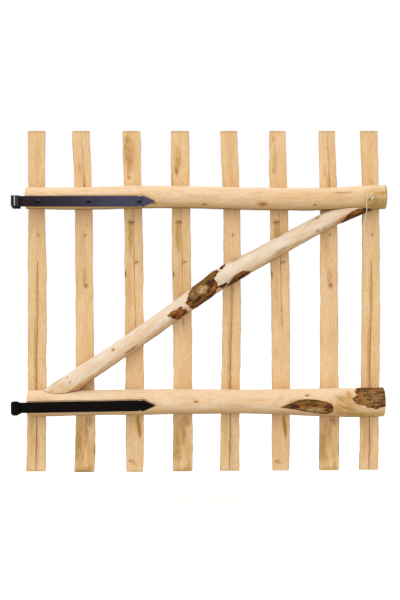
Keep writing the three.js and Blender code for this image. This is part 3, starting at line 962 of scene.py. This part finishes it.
def make_strap(name):
    low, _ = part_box(name)
    tilt = math.radians(STRAP_SEATS[name.replace("strap", "rail")][1])
    shape = bmesh.new()
    roll_eye(shape, drawn_bar(shape))
    ease_edges(shape, 0.55 * MM)
    for vert in shape.verts:
        vert.co.z += low.z + vert.co.x * math.sin(tilt)
    piece = finished_piece(f"forged_{name}", shape, "leaf", name)
    x, y, _ = mesh_points(piece).T / MM
    # Painted highlight: two upright stripes on the front of the eye.
    set_values(piece, "painted_highlight", np.where(y < -5, np.minimum(abs(x), abs(x - 6.4) + 1.2), 9))
    return piece


straps = {name: make_strap(name) for name in ("top_strap", "bottom_strap")}
for name, strap in straps.items():
    drift = [round(a - b, 5) for a, b in zip(strap.dimensions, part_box(name)[1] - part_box(name)[0])]
    print(name, "size less CAD size", drift)

# %% [markdown]
# ## Turned pieces
# Screws, nails and the hooks' pins are all round, so one outline spun round its own axis makes
# each of them. A screw's head then gets its slot: two pairs of close cuts, and the points
# between them are pressed down to a floor.

# %% Spin an outline of (radius, along) points, in millimetres, round an axis
def turned(outline, place, axis, steps):
    """The outline spun round the Y or Z axis, then moved to its place."""
    shape = bmesh.new()
    verts = []
    for radius, along in outline:
        point = (radius, along, 0) if axis == "Y" else (radius, 0, along)
        verts.append(shape.verts.new(Vector(point) * MM))
    edges = [shape.edges.new(pair) for pair in zip(verts[:-1], verts[1:])]
    way = (0, 1, 0) if axis == "Y" else (0, 0, 1)
    bmesh.ops.spin(shape, geom=verts + edges, cent=(0, 0, 0), axis=way, dvec=(0, 0, 0),
                   angle=2 * math.pi, steps=steps, use_merge=True, use_duplicate=False)
    bmesh.ops.remove_doubles(shape, verts=shape.verts, dist=0.01 * MM)
    bmesh.ops.recalc_face_normals(shape, faces=shape.faces)
    bmesh.ops.translate(shape, verts=shape.verts, vec=place)
    return shape


# %% Screws
def make_screw(name, turn):
    low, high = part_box(name)
    place = Vector(((low.x + high.x) / 2, low.y, (low.z + high.z) / 2))
    outline = [(0, 0), (1.6, 0.06), (3.2, 0.4), (4.5, 1.05), (5.3, 1.95), (5.6, 2.7), (5.6, 3),
               (2.6, 3), (2.6, 30), (0, 37)]
    shape = turned(outline, (0, 0, 0), "Y", 32)
    for side in (-0.75, -0.6, 0.6, 0.75):
        bmesh.ops.bisect_plane(shape, geom=shape.verts[:] + shape.edges[:] + shape.faces[:],
                               plane_co=(side * MM, 0, 0), plane_no=(1, 0, 0), dist=1e-7)
    for vert in shape.verts:
        if abs(vert.co.x) < 0.65 * MM:
            vert.co.y = max(vert.co.y, 1.3 * MM)
    bmesh.ops.rotate(shape, verts=shape.verts, cent=(0, 0, 0),
                     matrix=Matrix.Rotation(math.radians(turn), 3, "Y"))
    bmesh.ops.translate(shape, verts=shape.verts, vec=place)
    piece = finished_piece(f"slotted_{name}", shape, "leaf", name, smooth=35)
    # Painted highlight: a band across the upper part of the head.
    set_values(piece, "painted_highlight", np.abs(mesh_points(piece)[:, 2] / MM - place.z / MM - 3.4))
    return piece


screw_names = sorted(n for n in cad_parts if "_screw_" in n)
screws = [make_screw(name, 37 + 49 * i) for i, name in enumerate(screw_names)]
print(len(screws), "screws")


# %% Nails
def make_nail(name):
    """Pointed end first, then the shank and the flat head."""
    low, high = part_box(name)
    length = (high.y - low.y) / MM
    outline = [(0, 0), (0.9, 2), (1.7, 5), (1.7, length - 1.2), (3.7, length - 1.2),
               (4, length - 0.9), (4, length - 0.35), (3.6, length - 0.06), (0, length)]
    shape = turned(outline, ((low.x + high.x) / 2, low.y, (low.z + high.z) / 2), "Y", 20)
    return finished_piece(f"driven_{name}", shape, "leaf", name, smooth=35)


nail_names = sorted(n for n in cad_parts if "_nail_" in n)
nails = [make_nail(name) for name in nail_names]
print(len(nails), "nails")


# %% Hooks: a turned pin, and the forged spike with its edges eased
def make_pin(name, crown, rise):
    """A pin with a domed top: crown is the dome's radius, and rise its height."""
    low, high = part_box(name)
    shoulder = (high.z - low.z) / MM - rise
    outline = [(0, 0), (4.4, 0), (4.7, 0.3), (4.7, 4.3), (7, 4.3), (7, shoulder)]
    outline += [(crown, shoulder)] if crown > 7 else []
    outline += [(crown * math.cos(a), shoulder + rise * math.sin(a) ** 0.8)
                for a in np.linspace(0.15, math.pi / 2, 10)[:-1]]
    outline += [(0, shoulder + rise)]
    shape = turned(outline, ((low.x + high.x) / 2, (low.y + high.y) / 2, low.z), "Z", 36)
    return finished_piece(f"turned_{name}", shape, "hinge_hooks", name)


def make_spike(name):
    shape = bmesh.new()
    shape.from_mesh(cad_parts[name].data)
    bmesh.ops.remove_doubles(shape, verts=shape.verts, dist=0.01 * MM)
    bmesh.ops.dissolve_limit(shape, angle_limit=math.radians(1), verts=shape.verts,
                             edges=shape.edges)
    ease_edges(shape, 0.5 * MM)
    return finished_piece(f"forged_{name}", shape, "hinge_hooks", name, smooth=30)


hooks = [make_pin("upper_hook_pin", 7, 5), make_pin("lower_hook_pin", 10.4, 3.8)]
hooks += [make_spike(f"{n}_hook_spike") for n in ("upper", "lower")]
print("hooks", [len(h.data.polygons) for h in hooks], "faces")

# %% [markdown]
# ## Writing finishes as sums
# A finish is arithmetic on a few patterns. One small class wraps a node's output so that plus,
# times and the rest add the Math nodes, and another holds the material and adds any other
# node. The recipes below then read like the sums they are.

# %% Sockets that do arithmetic
class Socket:
    def __init__(self, finish, output):
        self.finish, self.output = finish, output

    def sum(self, operation, first, second=0.0):
        return self.finish.node("Math", {0: first, 1: second}, operation=operation)

    def __add__(self, other):
        return self.sum("ADD", self, other)

    def __sub__(self, other):
        return self.sum("SUBTRACT", self, other)

    def __rsub__(self, other):
        return self.sum("SUBTRACT", other, self)

    def __mul__(self, other):
        return self.sum("MULTIPLY", self, other)

    def __pow__(self, other):
        return self.sum("POWER", self, other)

    __radd__, __rmul__ = __add__, __mul__

    def sine(self):
        return self.sum("SINE", self)

    def soft(self, low, high):
        """0 below low, 1 above high, and a soft step between."""
        values = {"Value": self, "From Min": low, "From Max": high}
        return self.finish.node("MapRange", values, interpolation_type="SMOOTHSTEP")


class Finish:
    def __init__(self, name, **constants):
        self.material = bpy.data.materials.new(name)
        self.material.use_nodes = True
        self.tree = self.material.node_tree
        self.shader = self.tree.nodes["Principled BSDF"]
        for socket, value in constants.items():
            self.shader.inputs[socket.replace("_", " ")].default_value = value

    def put(self, value, target):
        if isinstance(value, Socket):
            self.tree.links.new(value.output, target)
        else:
            target.default_value = value

    def node(self, kind, values=(), out=0, **settings):
        made = self.tree.nodes.new("ShaderNode" + kind)
        for setting, value in settings.items():
            setattr(made, setting, value)
        for key, value in dict(values).items():
            self.put(value, made.inputs[key])
        return Socket(self, made.outputs[out])

    def value(self, name):
        return self.node("Attribute", attribute_name=name, out="Fac")

    def vector(self, name):
        return self.node("Attribute", attribute_name=name, out="Vector")

    def split(self, vector):
        parts = self.node("SeparateXYZ", {0: vector}).output.node.outputs
        return [Socket(self, part) for part in parts]

    def stretch(self, vector, by):
        return self.node("VectorMath", {0: vector, 1: by}, operation="MULTIPLY")

    def noise(self, vector, scale, detail=2.0, roughness=0.5):
        values = {"Vector": vector, "Scale": scale, "Detail": detail, "Roughness": roughness}
        return self.node("TexNoise", values)

    def mix(self, amount, low, high):
        return self.node("Mix", {0: amount, 6: low, 7: high}, out=2, data_type="RGBA")

    def finish(self, colour, roughness, height, depth):
        self.put(colour, self.shader.inputs["Base Color"])
        self.put(roughness, self.shader.inputs["Roughness"])
        bump = self.node("Bump", {"Height": height, "Distance": depth, "Strength": 1.0})
        self.put(bump, self.shader.inputs["Normal"])
        return self.material


def tint(red, green, blue):
    """A linear colour from its usual 0 to 255 values."""
    return (*(((c / 255 + 0.055) / 1.055) ** 2.4 for c in (red, green, blue)), 1)


# %% [markdown]
# ## Wood
# The grain attribute says where each point lies in its own pole: sideways from the pith, deep,
# and along. Rings are then waves of the distance from the pith, and fibres are noise that is
# stretched along the pole, so the same recipe gives straight lines on a cleft face and long
# wandering ones on a peeled surface. Stains, knots, cracks and bark go on in that order.

# %% Plain wood
RING_WIDTH = 0.0036


def plain_wood(finish, pale, middle, dark, rosy, ring_depth):
    """Colour, fibre and rings, and the grain that all later patterns follow."""
    grain = finish.vector("grain")
    side, deep, along = finish.split(grain)
    bend = finish.noise(finish.stretch(grain, (1, 1, 0.1)), 30)
    away = (side * side + deep * deep) ** 0.5
    rings = ((away + bend * 0.008) * (2 * math.pi / RING_WIDTH)).sine() * 0.5 + 0.5
    fibre = finish.noise(finish.stretch(grain, (1, 1, 0.05)), 330, 3, 0.65)
    cloud = finish.noise(finish.stretch(grain, (1, 1, 0.3)), 34, 3)
    blush = finish.noise(finish.stretch(grain, (1, 1, 0.35)), 58, 3, 0.6)
    mottle = finish.noise(finish.stretch(grain, (1, 1, 0.4)), 190, 3, 0.65)
    colour = finish.mix(cloud.soft(0.32, 0.68), middle, pale)
    colour = finish.mix(blush.soft(0.5, 0.72) * 0.6, colour, rosy)
    colour = finish.mix((rings ** 2) * ring_depth, colour, dark)
    colour = finish.mix((1 - fibre.soft(0.3, 0.6)) * 0.3, colour, dark)
    colour = finish.mix((1 - mottle.soft(0.32, 0.56)) * 0.3, colour, dark)
    return colour, fibre, rings, grain


def stained(finish, colour, grain, brown, ochre, green):
    """The three stains, each broken up along the grain."""
    rag = finish.noise(finish.stretch(grain, (1, 1, 0.3)), 200, 4, 0.65).soft(0.25, 0.62)
    amounts = finish.split(finish.vector("stain"))
    for amount, stain in zip(amounts, (brown, ochre, green)):
        colour = finish.mix(amount * (rag * 0.65 + 0.25), colour, stain)
    return colour


def knotted(finish, colour, rim, heart, strength):
    knot = finish.value("knot")
    colour = finish.mix((1 - knot.soft(0.9, 2.2)) * 0.5 * strength, colour, rim)
    colour = finish.mix((1 - knot.soft(0.75, 1.05)) * 0.8 * strength, colour, rim)
    return finish.mix((1 - knot.soft(0.2, 0.8)) * 0.9 * strength, colour, heart)


def cracked_and_shaded(finish, colour, dark):
    # Darker along cracks, and along the lines of painted shade behind the twine knot.
    near = finish.value("crack_and_shadow")
    colour = finish.mix((1 - near.soft(0, 2.4)) * 0.35, colour, dark)
    return finish.mix((1 - near.soft(-0.1, 0.6)) * 0.85, colour, dark)


# %% Cleft wood of the pickets
def cleft_wood():
    finish = Finish("cleft_wood", IOR=1.4, Specular_IOR_Level=0.25)
    colour, fibre, rings, grain = plain_wood(
        finish, tint(234, 199, 151), tint(224, 186, 136), tint(190, 146, 92),
        tint(236, 194, 154), 0.14)
    colour = stained(finish, colour, grain, tint(158, 102, 48), tint(178, 130, 44),
                     tint(150, 122, 62))
    edge = finish.value("edge")
    rag = finish.noise(finish.stretch(grain, (1, 1, 0.2)), 90, 3).soft(0.35, 0.65)
    colour = finish.mix((1 - edge.soft(0.2, 3.2)) * (rag * 0.45 + 0.2), colour,
                        tint(134, 116, 78))
    colour = knotted(finish, colour, tint(160, 110, 60), tint(110, 70, 34), 0.6)
    colour = cracked_and_shaded(finish, colour, tint(112, 82, 34))
    return finish.finish(colour, 0.62 + 0.2 * fibre, fibre * 0.7 + rings * 0.3, 0.35 * MM)


cleft = cleft_wood()
for picket in pickets:
    picket.data.materials.append(cleft)
print("pickets finished")


# %% Bark
def with_bark(finish, colour, grain, height):
    """Colour and height once the bark lies over the wood, and where it lies. On bark the same
    three stains read as redder, as pale flecks and as olive."""
    edge = finish.value("bark")
    bark = edge.soft(-0.35, 0.35)
    streaks = finish.noise(finish.stretch(grain, (1, 1, 0.3)), 150, 4, 0.6)
    plates = finish.noise(finish.stretch(grain, (1, 1, 0.6)), 440, 3, 0.65)
    up = finish.value("edge")
    redder, fleck, olive = finish.split(finish.vector("stain"))
    skin = finish.mix(streaks.soft(0.4, 0.62), tint(56, 30, 4), tint(146, 94, 38))
    redness = finish.mix(streaks.soft(0.38, 0.62), tint(84, 32, 4), tint(168, 96, 38))
    skin = finish.mix(redder.soft(0, 1) * 0.7, skin, redness)
    skin = finish.mix(olive.soft(0, 1.2) * 0.75, skin,
                      finish.mix(plates.soft(0.38, 0.62), tint(62, 44, 10), tint(148, 110, 52)))
    pale = fleck.soft(0, 1.4) * plates.soft(0.42, 0.6)
    skin = finish.mix(pale * 0.9, skin, tint(214, 184, 130))
    # Painted shade: the bark turns darker underneath.
    skin = finish.mix((1 - up.soft(-0.92, -0.5)) * 0.75, skin, tint(58, 20, 2))
    skin = finish.mix((1 - edge.soft(0.6, 5.0)) * 0.65, skin, tint(56, 30, 4))
    rim = edge.soft(-2.6, -0.3) * (1 - edge.soft(-0.2, 0.4))
    colour = finish.mix(rim * 0.55, colour, tint(186, 130, 70))
    return finish.mix(bark, colour, skin), height + bark * (plates * 1.2 + streaks), bark


# %% Peeled wood of the rails and the brace
def peeled_wood(name, pale, middle, dark, rosy, underside_shade_and_skin, ring_depth):
    """Painted light makes it paler on top and painted shade darker underneath, with a painted
    dark line along the lowest edge and a painted shadow where a scribed end meets its rail.
    """
    finish = Finish(name, IOR=1.42, Specular_IOR_Level=0.25)
    colour, fibre, rings, grain = plain_wood(finish, pale, middle, dark, rosy, ring_depth)
    up = finish.value("edge")
    # Painted light on top, painted shade underneath, and a thin painted line of shade along the
    # lowest edge.
    colour = finish.mix(up.soft(0.2, 1.0) * 0.6, colour, pale)
    colour = finish.mix((1 - up.soft(-1.0, -0.3)) * 0.75, colour, underside_shade_and_skin)
    colour = finish.mix((1 - up.soft(-0.985, -0.88)) * 0.75, colour, tint(118, 92, 34))
    # Patches of thin inner skin, in the same colour as the painted shade underneath.
    skin = finish.noise(finish.stretch(grain, (1, 1, 0.14)), 90, 3, 0.6).soft(0.6, 0.7)
    colour = finish.mix(skin * 0.35, colour, underside_shade_and_skin)
    colour = stained(finish, colour, grain, tint(158, 104, 42), tint(192, 144, 70),
                     tint(146, 112, 44))
    colour = knotted(finish, colour, tint(172, 122, 58), tint(122, 80, 30), 0.85)
    colour = cracked_and_shaded(finish, colour, tint(104, 68, 26))
    colour, height, bark = with_bark(finish, colour, grain, fibre * 0.6 + rings * 0.3)
    # Painted shadow where a scribed end meets its rail.
    painted_joint_shadow = 1 - finish.value("joint").soft(1.4, 3.8)
    colour = finish.mix(painted_joint_shadow * 0.85, colour, tint(96, 58, 22))
    return finish.finish(colour, 0.5 + 0.15 * fibre + bark * 0.25, height, 0.3 * MM)


# The fifth colour is the painted shade underneath, also used for the skin patches.
rail_wood = peeled_wood("peeled_wood", tint(231, 204, 170), tint(226, 190, 146),
                        tint(198, 154, 98), tint(234, 194, 154), tint(190, 146, 84), 0.18)
brace_wood = peeled_wood("pale_peeled_wood", tint(230, 216, 196), tint(226, 198, 162),
                         tint(204, 162, 112), tint(232, 200, 172), tint(196, 150, 92), 0.12)
top_rail.data.materials.append(rail_wood)
bottom_rail.data.materials.append(rail_wood)
brace.data.materials.append(brace_wood)
print("rails and brace finished")

# %% [markdown]
# ## Iron, zinc and twine
# The straps are blackened iron. The upper one's colour turns from brown to blue along the bar,
# which is a painted reflection, and the lower one is plain black. The upper strap's eye and its
# screws carry painted highlights in places, so their meshes store how far each point is from
# there. Elsewhere the roughness does most of the work, and varies more than the colour.

# %% Metals
def blackened(name, near, far, roughness, gloss, highlight_colour=None):
    """Near and far are the colours along the bar, whose change is a painted reflection on the
    upper strap, and highlight_colour is the colour of the painted highlights.
    """
    finish = Finish(name, Specular_IOR_Level=gloss)
    place = finish.node("TexCoord", out="Object")
    x, _, _ = finish.split(place)
    scale = finish.noise(place, 90, 4, 0.6)
    grit = finish.noise(place, 900, 2)
    # From near to far along the bar; on the upper strap this change is a painted reflection.
    colour = finish.mix(x.soft(0.02, 0.34), near, far)
    colour = finish.mix(scale.soft(0.45, 0.75) * 0.4, colour, tint(30, 22, 24))
    # Painted highlights where the mesh stores them.
    if highlight_colour:
        painted_highlight = 1 - finish.value("painted_highlight").soft(0.9, 2.1)
        colour = finish.mix(painted_highlight * (0.6 + grit * 0.5), colour, highlight_colour)
    return finish.finish(colour, roughness + scale * 0.22 + grit * 0.1, scale * 0.6 + grit * 0.3,
                         0.25 * MM)


def zinc():
    finish = Finish("dull_zinc", Metallic=0.9)
    place = finish.node("TexCoord", out="Object")
    bloom = finish.noise(place, 700, 3)
    colour = finish.mix(bloom.soft(0.35, 0.7), tint(150, 150, 150), tint(196, 196, 198))
    return finish.finish(colour, 0.35 + bloom * 0.3, bloom, 0.05 * MM)


def twisted_twine():
    finish = Finish("straw_twine")
    place = finish.node("TexCoord", out="Object")
    x, y, z = finish.split(place)
    strands = ((z * 2600) + (x - y) * 1500).sine() * 0.5 + 0.5
    fuzz = finish.noise(place, 2600, 2)
    colour = finish.mix(strands * 0.7 + fuzz * 0.3, tint(196, 176, 128), tint(240, 228, 192))
    return finish.finish(colour, 0.8 + fuzz * 0.1, strands + fuzz * 0.5, 0.2 * MM)


# The upper strap's brown-to-blue change is a painted reflection, and its last colour is that of the
# painted highlights.
painted_sheen_iron = blackened("iron_with_painted_sheen", tint(30, 18, 26), tint(64, 64, 84), 0.34, 0.14,
                  tint(186, 184, 184))
# The upper screws get a painted highlight on the top of their heads.
screw_iron = blackened("iron_with_painted_highlight", tint(12, 10, 4), tint(14, 16, 10), 0.4, 0.1,
                       tint(88, 80, 96))
black = blackened("black_iron", tint(10, 6, 4), tint(12, 7, 6), 0.4, 0.04)
plated, straw = zinc(), twisted_twine()
straps["top_strap"].data.materials.append(painted_sheen_iron)
for piece in (straps["bottom_strap"], *hooks):
    piece.data.materials.append(black)
for name, screw in zip(screw_names, screws):
    screw.data.materials.append(screw_iron if name.startswith("top") else black)
for piece in (twine_staple, *nails):
    piece.data.materials.append(plated)
for piece in (tie_twine, twine_knot):
    piece.data.materials.append(straw)
print("metals and twine finished")

# %% Staple, knot and twine join the gate
for piece, slot_name, node in (
    (twine_staple, "zinc_wire", "twine_staple"),
    (twine_knot, "twine", "twine_knot"),
    (tie_twine, "twine", "tie_twine"),
):
    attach(piece, "leaf")
    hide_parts(node)

# %% [markdown]
# ## Floor and light
# The gate hangs a little over a pale floor. A big soft light stands above the camera's
# left shoulder, and the bright room does the rest: its light is stronger from above and from
# the front than from below, so the undersides of the round timbers turn away softly.

# %% Floor
GATE_MIDDLE = (0.48, 0.03, 0.29)
CLEARANCE = 60 * MM


def make_floor():
    shape = bmesh.new()
    bmesh.ops.create_grid(shape, x_segments=2, y_segments=2, size=9)
    bmesh.ops.translate(shape, verts=shape.verts, vec=(GATE_MIDDLE[0], 0, cad_low.z - CLEARANCE))
    mesh = bpy.data.meshes.new("pale_floor")
    shape.to_mesh(mesh)
    shape.free()
    floor = bpy.data.objects.new("pale_floor", mesh)
    bpy.context.collection.objects.link(floor)
    finish = Finish("pale_floor_paint")
    place = finish.node("TexCoord", out="Object")
    speckle = finish.noise(place, 60, 3)
    colour = finish.mix(speckle, tint(250, 250, 249), tint(254, 254, 254))
    mesh.materials.append(finish.finish(colour, 0.9, speckle, 0.02 * MM))
    floor.visible_diffuse = False


make_floor()
print("floor", CLEARANCE, "m under the gate")


# %% Room light
def light_room():
    world = bpy.data.worlds.new("bright_room")
    bpy.context.scene.world = world
    world.use_nodes = True
    tree = world.node_tree
    shine = tree.nodes["Background"]
    room = Finish.__new__(Finish)
    room.tree = tree
    direction = room.node("TexCoord", out="Generated")
    _, y, z = room.split(direction)
    level = 0.98 + z * 0.45 - y * 0.1
    seen = room.node("LightPath", out="Is Camera Ray")
    level = level * (1 - seen) + seen
    room.put(level, shine.inputs["Strength"])
    shine.inputs["Color"].default_value = (1, 1, 1, 1)


light_room()
bpy.context.scene.view_settings.view_transform = "Standard"
print("room light", bpy.context.scene.world.name)

# %% Light
def add_light(name, place, aim, size, power):
    data = bpy.data.lights.new(name, "AREA")
    data.size = size
    data.energy = power
    lamp = bpy.data.objects.new(name, data)
    lamp.location = place
    lamp.rotation_euler = (Vector(aim) - Vector(place)).to_track_quat("-Z", "Y").to_euler()
    bpy.context.collection.objects.link(lamp)
    print(name, power, "W")


add_light("soft_key", (0.1, -2.6, 1.6), GATE_MIDDLE, 2.6, 8)
